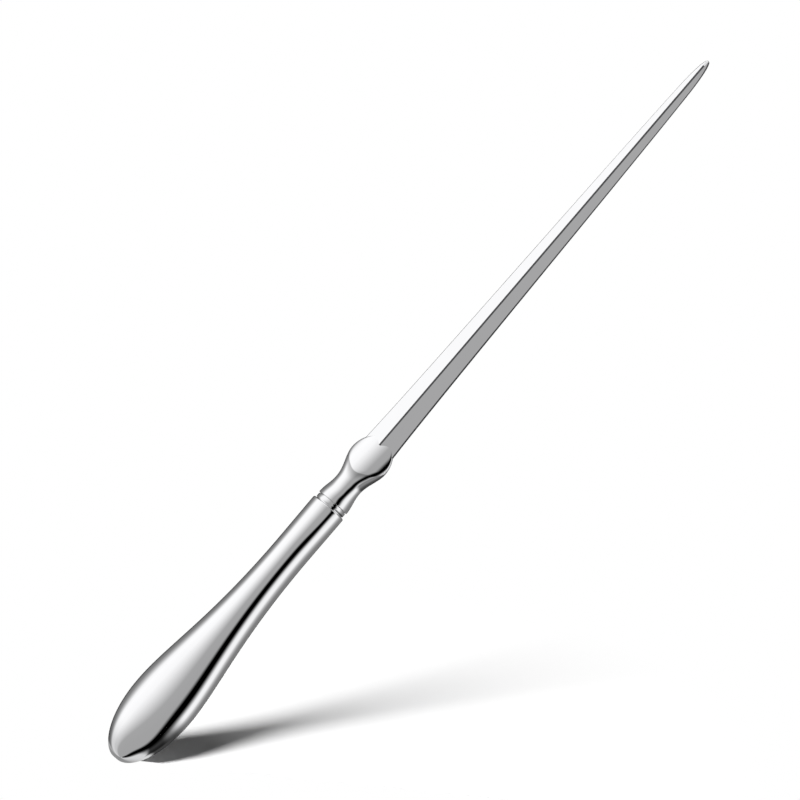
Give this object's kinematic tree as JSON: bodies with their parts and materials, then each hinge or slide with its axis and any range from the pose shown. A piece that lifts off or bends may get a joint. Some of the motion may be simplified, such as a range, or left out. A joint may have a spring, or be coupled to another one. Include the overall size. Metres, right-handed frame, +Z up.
{
  "type": "letter opener",
  "caption": "Polished steel letter opener: a long diamond-section blade with a flared oval bolster, a fine ring and a swelling hollow handle.",
  "frame": {"origin": "on the surface it lies on, below the middle of its length and width", "axes": "+X along the length from the butt of the handle to the tip, +Y across the width, +Z up out of the front face"},
  "size_m": [0.23, 0.0176, 0.012],
  "materials": {
    "blade_steel": "mirror polished",
    "ring_steel": "mirror polished",
    "shell_steel": "mirror polished",
    "braze": "polished flush",
    "cement": "cast, hidden"
  },
  "bodies": {
    "root": {"blade": "blade_steel", "collar_ring": "ring_steel", "handle_front_shell": "shell_steel", "handle_back_shell": "shell_steel", "braze_seam": "braze", "cement_core": "cement"}
  },
  "joints": []
}
